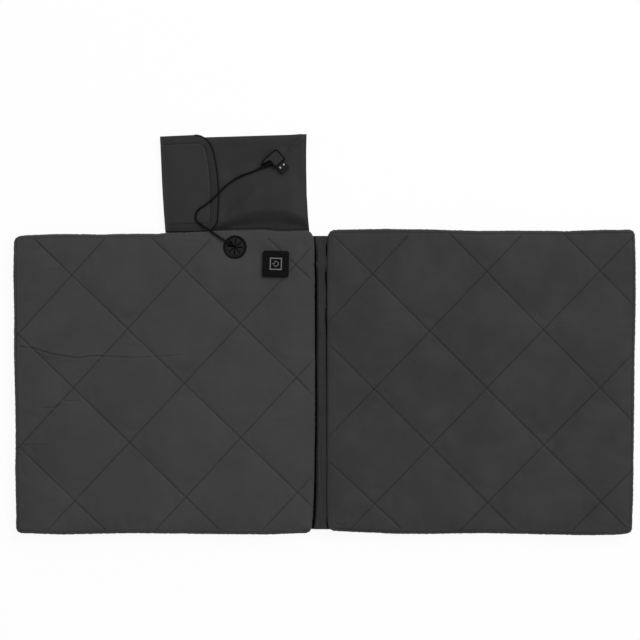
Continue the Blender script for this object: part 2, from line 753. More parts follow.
def settle(bm, pinned):
    """The bmesh's vertices after a short cloth simulation, each moved by no more than the cap."""
    before = coordinates_of(bm)
    mesh = bpy.data.meshes.new("settling")
    bm.to_mesh(mesh)
    piece = add_object("settling", mesh)
    group = piece.vertex_groups.new(name="pinned")
    for weight in np.unique(pinned):
        chosen = np.nonzero(pinned == weight)[0].tolist()
        group.add(chosen, float(weight), "REPLACE")
    cloth = piece.modifiers.new("cloth", "CLOTH")
    for key, value in CLOTH.items():
        setattr(cloth.settings, key, value)
    cloth.settings.effector_weights.gravity = 0
    cloth.collision_settings.use_collision = False
    cloth.point_cache.frame_start = 1
    cloth.point_cache.frame_end = SIM_FRAMES
    for step in range(1, SIM_FRAMES + 1):
        bpy.context.scene.frame_set(step)
    posed = piece.evaluated_get(bpy.context.evaluated_depsgraph_get())
    after = np.zeros(len(mesh.vertices) * 3)
    posed.data.vertices.foreach_get("co", after)
    after = after.reshape(-1, 3)
    bpy.context.scene.frame_set(1)
    bpy.data.objects.remove(piece)
    moved = after - before
    far = np.maximum(np.linalg.norm(moved, axis=1), 1e-9)
    print("simulated", len(before), "points, furthest", round(far.max() / MM, 1), "mm")
    return before + moved * (SIM_CAP * np.tanh(far / SIM_CAP) / far)[:, None]


# %% [markdown]
# A stitched line is cut into the cloth as three close rows of edges, and the middle row is pulled
# down, so that the groove is sharp and the cloth beside it stays full.

# %% Grooves and creases
GROOVE_HALF = 1.1 * MM
GROOVE_DEPTH = 0.7 * MM
GROOVE_UNEVEN = 0.25
TOP_FACING = 0.7  # a face whose normal points up more than this is on the top
VALLEY_WIDTH, RIDGE_HEIGHT, RIDGE_PLACE = 0.42, 0.35, 1.5  # shares of a crease's width and depth
SNAP = 0.3 * MM
# Each crease: its points in mm, how deep and how wide it is, and where along it it fades in and out
CREASES = {
    "seat": [
        (
            [
                (-192, 47.5), (-172, 46.2), (-145, 38), (-111, 32.5), (-95, 35.2),
                (-78.5, 35.2), (-40, 33),
            ],
            1.5, 1.7, 0.0, 0.75,
        ),
        ([(-62, 34), (-40, 33), (4, 35), (59, 42)], 0.8, 1.6, 0.1, 0.55),
        ([(-161, -31.5), (-143, -31.5), (-128, -22.5), (-103, -22.5)], 0.9, 1.6, 0.1, 0.7),
        ([(-186, -79), (-142, -79.5)], 0.8, 1.6, 0.0, 0.6),
        ([(-150, 146), (-130, 147.5)], 0.6, 1.8, 0.2, 0.7),
        ([(128, -50), (169, -46)], 0.3, 2.4, 0.2, 0.7),
        ([(-156, -151.5), (-116, -151.5)], 0.25, 2.4, 0.2, 0.7),
        ([(-188, -70), (-180, -79), (-170, -84)], 0.7, 1.6, 0.0, 0.7),
        ([(-188, -88), (-179, -81), (-176, -74)], 0.7, 1.6, 0.0, 0.7),
    ],
    "back": [
        ([(270, 74), (330, 76)], 0.2, 2.4, 0.2, 0.7),
        ([(500, 76), (560, 78)], 0.2, 2.4, 0.2, 0.7),
        ([(560, 8), (585, 7)], 0.3, 2.0, 0.2, 0.7),
        ([(214, -176), (226, -183), (238, -180)], 0.9, 1.8, 0.0, 0.7),
        ([(216, -184), (228, -178)], 0.7, 1.6, 0.0, 0.7),
    ],
}


def polyline_distance(points, places):
    """How far each place is from a line of points, and how far along it, from 0 to 1."""
    nearest = np.full(len(places), 1.0)
    along = np.zeros(len(places))
    points = np.array(points) * MM
    steps = np.linalg.norm(np.diff(points, axis=0), axis=1)
    starts = np.concatenate([[0], np.cumsum(steps)])
    for number, (a, b) in enumerate(zip(points, points[1:])):
        way = (b - a) / steps[number]
        local = places[:, :2] - a
        run = np.clip(local @ way, 0, steps[number])
        away = np.linalg.norm(local - run[:, None] * way, axis=1)
        closer = away < nearest
        nearest = np.where(closer, away, nearest)
        along = np.where(closer, (starts[number] + run) / starts[-1], along)
    return nearest, along


def cut_lines(bm, pad):
    """Rows of edges along every stitched line of the top cloth, the middle row on the line."""
    for point, across in quilt_lines(pad):
        for offset in (-GROOVE_HALF, 0, GROOVE_HALF):
            at = point + across * offset
            tops = [face for face in bm.faces if face.normal.z > TOP_FACING]
            middles = [face.calc_center_median().xy - at for face in tops]
            touched = [face for face, off in zip(tops, middles) if abs(off.dot(across)) < CELL]
            if not touched:
                continue
            edges = dict.fromkeys(edge for face in touched for edge in face.edges)
            verts = dict.fromkeys(vert for face in touched for vert in face.verts)
            geometry = [*verts, *edges, *touched]
            plane = {"plane_co": (*at, 0), "plane_no": (*across, 0)}
            bmesh.ops.bisect_plane(bm, geom=geometry, dist=SNAP, **plane)
            bm.normal_update()


def crease_rows(bm, name):
    """Finer cells along each crease of the cloth."""
    for cuts, reach in ((1, 6 * MM), (1, 2.6 * MM)):
        places = coordinates_of(bm)
        away = np.min([polyline_distance(crease[0], places)[0] for crease in CREASES[name]], axis=0)
        chosen = (away < reach) & top_mask(places)
        bm.verts.index_update()
        near = [e for e in bm.edges if chosen[e.verts[0].index] and chosen[e.verts[1].index]]
        bmesh.ops.subdivide_edges(bm, edges=near, cuts=cuts, use_grid_fill=True)


def press_lines(bm, name):
    """Pulls the stitched lines down and folds the creases in."""
    pad = PADS[name]
    places = coordinates_of(bm)
    top = top_mask(places)
    line = line_distance(pad, places)
    edge = edge_distance(pad, places)
    rim = held_distance(name, places)[0]
    free = smooth_step(edge, 0, 5 * MM) * smooth_step(rim, 0, 3 * MM) * top
    depth = GROOVE_DEPTH * (1 - smooth_step(line, 0.1 * MM, GROOVE_HALF * 0.9))
    uneven = 1 + GROOVE_UNEVEN * noise_at(places, 14 * MM, 3)
    places[:, 2] -= depth * uneven * free
    for points, fold, width, fade_in, fade_out in CREASES[name]:
        away, along = polyline_distance(points, places)
        fade = smooth_step(along, -0.01, fade_in) * (1 - smooth_step(along, fade_out, 1.0))
        valley = np.exp(-((away / (VALLEY_WIDTH * width * MM)) ** 2))
        beside = (away - RIDGE_PLACE * width * MM) / (width * MM)
        ridge = RIDGE_HEIGHT * np.exp(-(beside**2))
        places[:, 2] += fold * MM * (ridge - valley) * fade * free
    set_coordinates(bm, places)


print("creases", {name: len(found) for name, found in CREASES.items()})

# %% [markdown]
# The pads are made now: swell, simulate, follow the real outline, cut the grooves, fold the
# creases in, and open the holes under the controller and the grommet.

# %% Pads
# How wide and how high the uneven swells of the top are, and the puckers of the band, in mm
SOFTNESS = [(38, 0.35), (15, 0.12)]
PUCKER_SIZE, PUCKER = 21, 0.3
LINE_PIN, BAND_PIN = 0.9, 0.35


def make_pad(name, top_material):
    """One pad's cover, with its quilting, its creases and its holes."""
    pad = PADS[name]
    bm = pad_bmesh(pad)
    places = coordinates_of(bm)
    top = top_mask(places)
    places[top, 2] = swollen_top(name, places)[top]
    edge = edge_distance(pad, places)
    line = line_distance(pad, places)
    rim = held_distance(name, places)[0]
    band = ~top & (places[:, 2] > 0.55 * MM)
    set_coordinates(bm, places)
    pinned = np.zeros(len(places))
    pinned[line < 0.55 * CELL] = LINE_PIN
    pinned[edge < 0.4 * CELL] = 1
    pinned[band] = BAND_PIN
    pinned[rim < 2 * MM] = 1
    pinned[~top & ~band] = 1
    places = settle(bm, pinned)
    seed = len(name)
    soft = 0
    for number, (size, rise) in enumerate(SOFTNESS):
        soft = soft + noise_at(places, size * MM, seed + number) * rise * MM
    soft = soft * top * smooth_step(edge, 0, 12 * MM) * smooth_step(rim, 0, 8 * MM)
    places[:, 2] += soft
    upright = places * np.array([1, 1, 0.35])
    pucker = noise_at(upright, PUCKER_SIZE * MM, seed + 2) * PUCKER * MM
    centre = (np.array(pad["low"]) + np.array(pad["high"])) / 2 * MM
    outward = np.sign(places[:, :2] - centre) * (edge <= 0.5 * MM)[:, None]
    facing = np.abs(places[:, :2] - centre) > np.array(pad["high"]) * MM - centre - 6 * MM
    rise = smooth_step(places[:, 2], 1 * MM, 6 * MM)[:, None]
    places[:, :2] += outward * facing * pucker[:, None] * rise
    places = side_wave(places, pad)
    set_coordinates(bm, places)
    bm.normal_update()
    crease_rows(bm, name)
    bm.normal_update()
    cut_lines(bm, pad)
    press_lines(bm, name)
    places = coordinates_of(bm)
    hole = held_distance(name, places)[1]
    inside = (hole < 0) & top_mask(places)
    bm.verts.index_update()
    gone = [face for face in bm.faces if any(inside[vert.index] for vert in face.verts)]
    bmesh.ops.delete(bm, geom=gone, context="FACES")
    loose = [vert for vert in bm.verts if not vert.link_faces]
    bmesh.ops.delete(bm, geom=loose, context="VERTS")
    nodes = [f"{name}_{layer}" for layer in ("top_cloth", "side_band", "base_cloth", "batting")]
    cover = make_piece(f"{name}_cover", bm, [top_material], name, mapped=True)
    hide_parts(*nodes)
    return cover


seat_cover = make_pad("seat", charcoal_cloth)
back_cover = make_pad("back", back_cloth)

# %% [markdown]
# The cloth turns in at the bottom edge and at the corners, further than the flat foam of the CAD
# allows. A copy of each foam is drawn in near its rim, so that it stays clear of the cloth.

# %% Foam inside the covers
FOAM_RIM = 20 * MM
FOAM_RIM_DRAWN = 0.7


def draw_foam_in(name):
    """A copy of a pad's foam with its rim drawn toward the middle."""
    bm = merged_copy(f"{name}_foam")
    places = coordinates_of(bm)
    low, high = places.min(axis=0)[:2], places.max(axis=0)[:2]
    across = places[:, :2] - (low + high) / 2
    kept = (high - low) / 2 - FOAM_RIM
    beyond = np.maximum(np.abs(across) - kept, 0)
    places[:, :2] -= np.sign(across) * beyond * (1 - FOAM_RIM_DRAWN)
    set_coordinates(bm, places)
    foam = make_piece(f"{name}_foam_pad", bm, [FINISHES["foam"]], name, smooth=False)
    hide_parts(f"{name}_foam")


draw_foam_in("seat")
draw_foam_in("back")

# %% [markdown]
# The thread shows as short stitches that lie in the grooves, about three millimetres each, dark
# against the cloth. Each is a thin rod with a few faces, laid at the height of the cloth below it.

# %% Stitches
STITCH_PITCH = 3.1 * MM
STITCH_LENGTH = 2.5 * MM
STITCH_RADIUS = 0.26 * MM
SEAM_STITCH_RADIUS = 0.17 * MM
STITCH_LIFT = 0.12 * MM
STEEPEST_STITCH = 1.2 * MM
LINE_INSET = Vector((3.6, 4.4)) * MM
LINE_PAST_FOLD_SEAM = 2.6 * MM
SHORTEST_LINE = 8 * MM
UNSTITCHED = 5 * MM
SEAM_STITCH = {"pitch": 0.9 * STITCH_PITCH, "radius": SEAM_STITCH_RADIUS}


def surface_below(piece):
    """A finder of the piece's surface under a point."""
    mesh = piece.data
    tree = BVHTree.FromPolygons(
        [vert.co.copy() for vert in mesh.vertices], [tuple(face.vertices) for face in mesh.polygons]
    )

    def find(x, y):
        return tree.ray_cast(Vector((x, y, 60 * MM)), Vector((0, 0, -1)))[0]

    return find


def stitch_row(bm, find, start, end, pitch=STITCH_PITCH, radius=STITCH_RADIUS, lift=STITCH_LIFT):
    """Stitches from start to end, each one lying on the cloth."""
    run = Vector(end) - Vector(start)
    way = run.normalized()
    rod = {"cap_ends": True, "segments": 6, "radius1": radius, "radius2": radius}
    for number in range(int(run.length / pitch)):
        a = Vector(start) + way * pitch * (number + 0.5) - way * STITCH_LENGTH / 2
        b = a + way * STITCH_LENGTH
        below_a, below_b = find(a.x, a.y), find(b.x, b.y)
        if below_a is None or below_b is None or abs(below_a.z - below_b.z) > STEEPEST_STITCH:
            continue
        middle = (below_a + below_b) / 2 + Vector((0, 0, lift))
        turn = (below_b - below_a).to_track_quat("Z", "Y").to_matrix().to_4x4()
        place = Matrix.Translation(middle) @ turn
        bmesh.ops.create_cone(bm, depth=STITCH_LENGTH, matrix=place, **rod)


def clipped_line(name, point, across):
    """The ends of a stitched line inside the pad's seam; beside the fold it runs to the edge."""
    low = Vector(PADS[name]["low"]) * MM + LINE_INSET
    high = Vector(PADS[name]["high"]) * MM - LINE_INSET
    if name == "seat":
        high.x += LINE_PAST_FOLD_SEAM
    else:
        low.x -= LINE_PAST_FOLD_SEAM
    way = Vector((across.y, -across.x))
    near, far = -10.0, 10.0
    for axis in (0, 1):
        ends = sorted((side[axis] - point[axis]) / way[axis] for side in (low, high))
        near, far = max(near, ends[0]), min(far, ends[1])
    return (point + way * near, point + way * far) if far - near > SHORTEST_LINE else None


def seam_path(pad):
    """Points one stitch apart along the top seam, on the pad's real outline."""
    low, high = pad_box(pad, SEAM_INSET)
    points = []
    for corner_x, corner_y, turn in ((1, 1, 0), (-1, 1, 90), (-1, -1, 180), (1, -1, 270)):
        centre = (low + high) / 2 + np.array((corner_x, corner_y)) * ((high - low) / 2 - CORNER)
        for step in np.radians((turn, turn + 45, turn + 90)):
            points.append(centre + CORNER * np.array((cos(step), sin(step))))
    points.append(points[0])
    lengths = np.concatenate([[0], np.cumsum(np.linalg.norm(np.diff(points, axis=0), axis=1))])
    runs = np.arange(0, lengths[-1], STITCH_PITCH)
    path = [np.interp(runs, lengths, np.array(points)[:, axis]) for axis in (0, 1)]
    return side_wave(np.column_stack([*path, np.full(len(runs), SEAM_HEIGHT)]), pad)


for name, cover in (("seat", seat_cover), ("back", back_cover)):
    bm = bmesh.new()
    find = surface_below(cover)
    for point, across in quilt_lines(PADS[name]):
        ends = clipped_line(name, point, across)
        if ends:
            stitch_row(bm, find, *ends)
    seam = seam_path(PADS[name])
    for here, ahead in zip(seam, seam[1:]):
        beside_pouch = name == "seat" and here[0] > 0 and abs(here[1] - POUCH_SEAM) < UNSTITCHED
        if abs(here[0] - FOLD_SEAM[name]) < UNSTITCHED or beside_pouch:
            continue
        stitch_row(bm, find, here[:2], ahead[:2], **SEAM_STITCH)
    make_piece(f"{name}_quilt_stitches", bm, [sewing_thread], name)

# %% [markdown]
# The strip between the pads is one layer of cloth, lower than their top faces and gathered
# lengthwise. It moves as its own body. Its two long edges turn down into the seams of the pads:
# a deep black slit all along the seat pad, and one beside the back pad that opens in places.
# Each of those edges bends across one hinge, so each is its own piece.

# %% Fold strip sizes
STRIP_NEAR, STRIP_FAR = -188.0, 190.4
# The strip's left and right edges, and how open the right slit is, at places along it, in mm
SEAT_SLIT = [
    (-188, 191.4), (-180, 193.2), (-170, 194.2), (-141, 195.1), (-60, 195.9), (135, 195.8),
    (150, 195.5), (165, 195.3), (172, 195.1), (181, 193.9), (190, 191.9),
]
BACK_SLIT = [
    (-188, 208.6), (-150, 208.3), (-80, 208.0), (0, 207.9), (39, 208.0), (50, 208.1), (60, 207.9),
    (72, 207.5), (85, 206.8), (97, 207.5), (114, 208.3), (122, 207.9), (134, 206.9), (145, 206.4),
    (156, 207.4), (164, 207.7), (172, 207.6), (182, 207.6), (190, 207.7),
]
BACK_SLIT_OPEN = [
    (-188, 0.0), (-184, 0.7), (-176, 0.6), (-172, 0.0), (-78, 0.0), (-72, 0.35), (-60, 0.35),
    (-52, 0.1), (0, 0.45), (18, 0.6), (26, 1.0), (142, 1.0), (146, 0.0), (163, 0.0), (167, 1.0),
    (177, 1.0), (180, 0.2), (190, 0.0),
]
LEAD_ALONG = 152.9
LEAD_LIFT = 0.85
GATHER, CROSS_GATHER = 0.75, 0.45
SEAT_ROLL, SEAT_ROLL_FAR, SLIT_DROP = 3.4, 1.2, 1.8
STRIP_HEIGHT = 15.9
LINING_TOP = 13.3
UNDERLAY_HEIGHT = 10.9
UNDERLAY_LENGTH = 376
HINGE_HEIGHT = 15.5 * MM


def along_strip(table, y):
    """A table's value at each place along the strip, all in mm."""
    at, value = np.array(table).T
    return np.interp(y, at, value)


def lead_bump(y, width=3.4, power=4):
    """The flat lead inside lifts the cloth a little where it crosses."""
    return np.exp(-(np.abs((y - LEAD_ALONG) / width) ** power))


# %% Fold strip
def strip_height(x, y, left, right):
    """Lengthwise gathers, a few that run across them, and edges that roll into the slits."""
    places = np.stack([x, y, 0 * x], 1) * MM
    long_folds = noise_at(places * np.array([1, 0.05, 0]), 2.6 * MM, 11)
    slant = np.stack([places[:, 0] + 0.7 * places[:, 1], places[:, 1] * 0.3, 0 * x], 1)
    cross = noise_at(slant, 8 * MM, 12)
    over_lead = lead_bump(y, 7.0, 2)
    gathers = (GATHER * long_folds + CROSS_GATHER * cross) * (1 - 0.8 * over_lead)
    height = STRIP_HEIGHT + gathers + LEAD_LIFT * over_lead
    roll = SEAT_ROLL - SEAT_ROLL_FAR * smooth_step(y, 160, 176)
    height -= roll * (1 - smooth_step(x - left, -0.4, 2.8)) * (1 - lead_bump(y, 4.2))
    opening = along_strip(BACK_SLIT_OPEN, y) * (1 - smooth_step(right - x, -0.2, 1.4))
    height -= SLIT_DROP * opening
    return height


bm, share = unit_grid(18, 190)
along = STRIP_NEAR + share[:, 1] * (STRIP_FAR - STRIP_NEAR)
left, right = along_strip(SEAT_SLIT, along), along_strip(BACK_SLIT, along)
across = left + share[:, 0] * (right - left)
set_coordinates(bm, np.stack([across, along, strip_height(across, along, left, right)], 1) * MM)
fold_strip = make_piece(
    "fold_strip_cover", bm, [strip_cloth], "fold_strip", mapped=True
)
thicken(fold_strip, 0.7 * MM, -1)
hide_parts("fold_strip_cloth")


def strip_edge(name, edge_table, closed, opened, joined, materials, bodies, bend):
    """An edge of the strip that turns down into a pad's seam: a profile carried along Y."""
    bm, share = unit_grid(len(closed) - 1, 150)
    along = STRIP_NEAR + share[:, 1] * (STRIP_FAR - STRIP_NEAR)
    openness = np.clip(along_strip(BACK_SLIT_OPEN, along), 0, 1)[:, None]
    row = np.round(share[:, 0] * (len(closed) - 1)).astype(int)
    profile = np.array(closed)[row] * (1 - openness) + np.array(opened)[row] * openness
    lines = np.stack([0 * along, along, 0 * along], 1) * MM
    across = along_strip(edge_table, along) + profile[:, 0] + 0.15 * noise_at(lines, 15 * MM, 22)
    over_lead = STRIP_HEIGHT + np.where(row == joined, 0.4, LEAD_LIFT)
    covers = lead_bump(along) * (np.abs(row - joined) < 3)
    height = profile[:, 1] + (over_lead - profile[:, 1]) * covers
    set_coordinates(bm, np.stack([across, along, height], 1) * MM)
    piece = make_piece(name, bm, materials, None, mapped=True)
    for face in piece.data.polygons:
        face.material_index = int(face.center.z < LINING_TOP * MM and len(materials) > 1)
    thicken(piece, 0.5 * MM, -1)
    start, end = ((at * MM, 0, HINGE_HEIGHT) for at in bend)
    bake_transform(piece)
    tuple(start)
    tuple(end)
    return piece


# Each profile: how far to the right of the strip's edge, and how high, in mm
SEAT_EDGE = [(-6.0, 12.6), (-4.6, 12.1), (-2.4, 11.9), (-0.9, 11.9), (-0.3, 12.1), (0.15, 12.9)]
BACK_EDGE_CLOSED = [(-0.3, 15.4), (0.5, 15.3), (1.4, 15.0), (2.6, 14.5), (4.2, 14.0)]
BACK_EDGE_OPEN = [(-0.3, 14.0), (0.2, 12.4), (0.8, 11.9), (2.2, 11.9), (4.2, 12.3)]
SEAT_HINGE, BACK_HINGE = ("seat", "fold_strip"), ("fold_strip", "back")
profiles = (SEAT_EDGE, SEAT_EDGE, len(SEAT_EDGE) - 1)
seat_slit = strip_edge(
    "strip_seat_edge", SEAT_SLIT, *profiles, [lining_cloth], SEAT_HINGE, (192.6, 196.4)
)
profiles = (BACK_EDGE_CLOSED, BACK_EDGE_OPEN, 0)
cloths = [strip_cloth, lining_cloth]
back_slit = strip_edge("strip_back_edge", BACK_SLIT, *profiles, cloths, BACK_HINGE, (208.8, 212.0))
# The cloth of the underside runs on across the fold, half of it bending at each hinge
for name, low, high, bodies, bend in (
    ("strip_seat_underlay", 190.0, 202.6, SEAT_HINGE, (192.0, 197.0)),
    ("strip_back_underlay", 202.4, 215.0, BACK_HINGE, (208.0, 213.0)),
):
    bm, share = unit_grid(12, 90)
    along = STRIP_NEAR + 1 + share[:, 1] * UNDERLAY_LENGTH
    ripple = noise_at(np.column_stack([0 * along, along, 0 * along]) * MM, 20 * MM, 24)
    height = UNDERLAY_HEIGHT + 0.2 * ripple
    plan = np.column_stack([low + share[:, 0] * (high - low), along, height])
    set_coordinates(bm, plan * MM)
    underlay = make_piece(name, bm, [strip_cloth], None, mapped=True)
    thicken(underlay, 0.5 * MM, 0)
    start, end = ((at * MM, 0, HINGE_HEIGHT) for at in bend)
    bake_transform(underlay)
    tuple(start)
    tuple(end)
# Short rows of stitches that carry the quilting across the strip
STRIP_ROWS = [
    ((199.8, 61.3), (205.0, 67.5)),
    ((198.6, -35.0), (205.4, -44.0)),
    ((198.0, 108.0), (203.6, 102.6)),
]
bm = bmesh.new()
find = surface_below(fold_strip)
for start, end in STRIP_ROWS:
    stitch_row(bm, find, Vector(start) * MM, Vector(end) * MM, radius=SEAM_STITCH_RADIUS)
strip_stitches = make_piece("fold_strip_stitches", bm, [sewing_thread], "fold_strip")

# %% [markdown]
# The pouch is a flat bag of smoother, darker cloth. Its left edge is the open mouth, its far and
# right edges are thin hems, and its near edge is rolled into the seam of the pad. The front
# sags between these edges in soft folds, and dips in front of the rolled seam. A tape of the
# same cloth closes the gap to the pad and bends where the pouch folds.

# %% Pouch
POUCH_NEAR_LEFT = np.array((0.3, 195.607))
POUCH_NEAR_RIGHT = np.array((186.3, 195.607))
POUCH_FAR_RIGHT = np.array((180.9, 322.6))
POUCH_FAR_LEFT = np.array((-5.1, 317.1))
POUCH_WIDTH, POUCH_LENGTH = 186.0, 124.3
POUCH_BASE = 0.35
FRONT_HEIGHT, FRONT_FLOOR, EDGE_HEIGHT = 6.9, 2.0, 3.4
SWELL_HEIGHT, SWELL_NEAR, SWELL_FAR = 2.8, 11, 60
DROP_LEFT, DROP_MORE_RIGHT, DROP_CURVE = 1.5, 3.2, 1.7
SEAM_GROOVE, SEAM_GROOVE_WIDTH = 0.9, 1.1
# Soft folds of the front: two ends, height and half width, all in mm
POUCH_FOLDS = [
    ((66, 214), (116, 258), -1.5, 5.5),
    ((76, 210), (126, 252), 1.0, 6.5),
    ((70, 268), (144, 296), -1.7, 10.0),
    ((150, 301), (177, 319), -1.1, 2.8),
    ((159, 300), (179, 317), 1.0, 3.0),
    ((166, 300), (179, 315), -1.0, 2.2),
    ((120, 236), (176, 262), 0.4, 14.0),
    ((64, 311), (150, 314), 0.4, 4.0),
]
# How far from the sewn edge the crease is that the front drops to, how wide the roll above it is,
# where the groove beside the pad runs, and how far the right edge and the mouth stand to the
# right, all in mm at places along them
POUCH_CREASE = [
    (0, 1.0), (56, 1.0), (66, 3.0), (78, 5.6), (88, 7.4), (98, 8.9), (119, 10.6), (140, 10.4),
    (155, 10.0), (172, 8.6), (181, 6.8), (186, 6.0),
]
POUCH_ROLL = [
    (56, 9.0), (78, 10.0), (98, 15.5), (119, 19.5), (140, 20.5), (155, 19.5), (172, 15.5),
    (186, 12.0),
]
POUCH_GROOVE = [(60, 2.4), (97, 3.3), (125, 4.0), (155, 1.9), (175, 2.7), (186, 2.3)]
MOUTH_IN = [(0, 1.5), (13, 1.0), (24, 0.6), (34, 0.4), (45, 0.1), (60, 0.0)]
POUCH_SIDE = [(0, -0.2), (18, -1.2), (48, -1.7), (80, -0.9), (100, -0.1), (112, 0.6), (127, 1.7)]


def pouch_plan(across, along):
    """The place of a point of the pouch, from its share of the width and of the length."""
    u, v = across[:, None], along[:, None]
    near = POUCH_NEAR_LEFT + (POUCH_NEAR_RIGHT - POUCH_NEAR_LEFT) * u
    far = POUCH_FAR_LEFT + (POUCH_FAR_RIGHT - POUCH_FAR_LEFT) * u
    plan = near + (far - near) * v
    side = along_strip(POUCH_SIDE, along * POUCH_LENGTH) * smooth_step(across, 0.7, 1)
    mouth = along_strip(MOUTH_IN, along * POUCH_LENGTH) * (1 - smooth_step(across, 0, 0.2))
    plan[:, 0] += side + mouth
    inner = smooth_step(across, 0.0, 0.3) * (1 - smooth_step(across, 0.88, 1))
    plan[:, 1] -= 0.9 * smooth_step(along, 0.8, 1) * inner
    return plan


def pouch_front_height(u, v, plan):
    """The front's height in mm: folds, a wide swell, the drop to the crease, and thin edges."""
    mouth, right = u * POUCH_WIDTH, (1 - u) * POUCH_WIDTH
    seam, far = v * POUCH_LENGTH, (1 - v) * POUCH_LENGTH
    places = np.column_stack([plan, np.zeros(len(plan))]) * MM
    right_side = smooth_step(mouth, 56, 82)
    beyond = seam - along_strip(POUCH_CREASE, mouth)
    folds = 0.4 * noise_at(places, 30 * MM, 31)
    for start, end, lift, half_width in POUCH_FOLDS:
        away, run = polyline_distance([start, end], places)
        fade = smooth_step(run, -0.01, 0.25) * (1 - smooth_step(run, 0.8, 1.01))
        folds += lift * fade * np.exp(-((away / (half_width * MM)) ** 2))
    height = FRONT_HEIGHT - 0.7 * smooth_step(mouth, 60, 95)
    height += folds * right_side * smooth_step(beyond, 2, 12)
    width = along_strip(POUCH_ROLL, mouth)
    past = beyond - width
    swell = np.exp(-((past / np.where(past < 0, SWELL_NEAR, SWELL_FAR)) ** 2))
    height += SWELL_HEIGHT * swell * smooth_step(mouth, 84, 112) * smooth_step(right, 1, 24)
    roll = 1 - beyond / width
    below_crease = 1 + DROP_CURVE * (roll - 1)
    drop = np.where(beyond > 0, np.clip(roll, 0, 1) ** DROP_CURVE, below_crease)
    height -= (DROP_LEFT + DROP_MORE_RIGHT * right_side) * drop
    height = FRONT_FLOOR + 0.7 * np.logaddexp(0, (height - FRONT_FLOOR) / 0.7)
    off_groove = (seam - along_strip(POUCH_GROOVE, mouth)) / SEAM_GROOVE_WIDTH
    height -= SEAM_GROOVE * np.exp(-(off_groove**2)) * right_side
    thin = smooth_step(right, -0.5, 4) * smooth_step(far, -0.5, 4)
    return EDGE_HEIGHT + (height - EDGE_HEIGHT) * thin


HEM_RINGS = 6
SIDE_HEM, NEAR_HEM = 0.4, 0.95  # how far each hem stands out, as shares of half its height


def pouch_bag():
    """The bag: front, far and right hems, the rolled seam and the back, open at the mouth."""
    bm, share = unit_grid(110, 100)
    plan = pouch_plan(share[:, 0], share[:, 1])
    height = pouch_front_height(share[:, 0], share[:, 1], plan)
    set_coordinates(bm, np.column_stack([plan, height]) * MM)
    bm.verts.ensure_lookup_table()
    shares = {vert: at[0] for vert, at in zip(bm.verts, share)}
    under = bmesh.ops.duplicate(bm, geom=bm.verts[:] + bm.edges[:] + bm.faces[:])["geom"]
    for vert in only(BMVert, under):
        vert.co.z = POUCH_BASE * MM
    bmesh.ops.reverse_faces(bm, faces=only(BMFace, under))
    sides = [e for e in bm.edges if e.is_boundary and all(vert in shares for vert in e.verts)]
    border = [e for e in sides if any(shares[vert] >= 1e-6 for vert in e.verts)]
    tops = None
    for ring in range(1, HEM_RINGS + 1):
        made = bmesh.ops.extrude_edge_only(bm, edges=border)["geom"]
        border, verts = only(BMEdge, made), only(BMVert, made)
        tops = tops or [vert.co.copy() for vert in verts]
        turn = pi * ring / HEM_RINGS
        for top, vert in zip(tops, verts):
            half = (top.z - POUCH_BASE * MM) / 2
            out = half * sin(turn)
            vert.co = top
            vert.co.z = POUCH_BASE * MM + half * (1 + cos(turn))
            if abs(top.y - POUCH_NEAR_LEFT[1] * MM) < 0.5 * MM:
                vert.co.y -= out * NEAR_HEM
            elif top.x > (POUCH_FAR_RIGHT[0] - 4) * MM:
                vert.co.x += out * SIDE_HEM
            else:
                vert.co.y += out * SIDE_HEM
    bmesh.ops.remove_doubles(bm, verts=bm.verts[:], dist=0.05 * MM)
    bmesh.ops.recalc_face_normals(bm, faces=bm.faces[:])
    return bm


pouch = make_piece("pouch_bag", pouch_bag(), [pouch_cloth], "pouch", mapped=True)
thicken(pouch, 0.6 * MM, -1)
# The tape's profile from under the pad's band into the bag: along Y and up, in mm
SEAM_PROFILE = [(189.0, 6.5), (191.0, 5.0), (192.6, 3.4), (194.2, 2.2), (196.0, 1.3), (198.0, 1.1)]
bm, share = unit_grid(60, len(SEAM_PROFILE) - 1)
row = np.round(share[:, 1] * (len(SEAM_PROFILE) - 1)).astype(int)
across = POUCH_NEAR_LEFT[0] + 1.5 + share[:, 0] * (POUCH_WIDTH - 3.0)
set_coordinates(bm, np.column_stack([across, np.array(SEAM_PROFILE)[row]]) * MM)
pouch_seam = make_piece("pouch_seam_tape", bm, [pouch_cloth], None, mapped=True)
thicken(pouch_seam, 0.5 * MM, 0)
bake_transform(pouch_seam)
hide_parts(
    "pouch_front", "pouch_back", "pouch_end_gusset", "pouch_far_gusset", "pouch_welt"
)

# %% [markdown]
# The flap wraps from the back of the pouch round its mouth and lies on the front. It is a double
# layer with a stitched hem and two round corners. Its two halves hinge at the mouth, so the
# short upright stretch is its own piece.

# %% Flap
MOUTH_ALONG = Vector((-0.044402, 0.999014, 0))
MOUTH_ACROSS = Vector((0.999014, 0.044402, 0))
FLAP_NEAR = Vector((-0.688, 197.565, 0)) * MM
FLAP_REACH = 71.2
FLAP_SPAN = 121.6
FLAP_HEIGHT = 8.9
FLAP_CORNERS = (12.0, 23.0)
HEM = 12.0
HEM_STITCHES = HEM - 1.6
FLAP_THICKNESS = 1.1 * MM
HEM_GROOVE, HEM_GROOVE_WIDTH = 0.55, 1.1
# How far the free edge reaches at places along it, and how far the near edge tucks under the pad
# at places across it, in mm
FLAP_BOW = [
    (0, 67.4), (10, 69.4), (24, 70.9), (40, 72.2), (56, 72.4), (72, 71.7), (86, 70.3), (98, 68.1),
    (108, 66.6), (121, 65.4),
]
FLAP_TUCK = [(0, 2.5), (30, 3.4), (50, 3.9), (62, 3.2), (71, 1.5)]


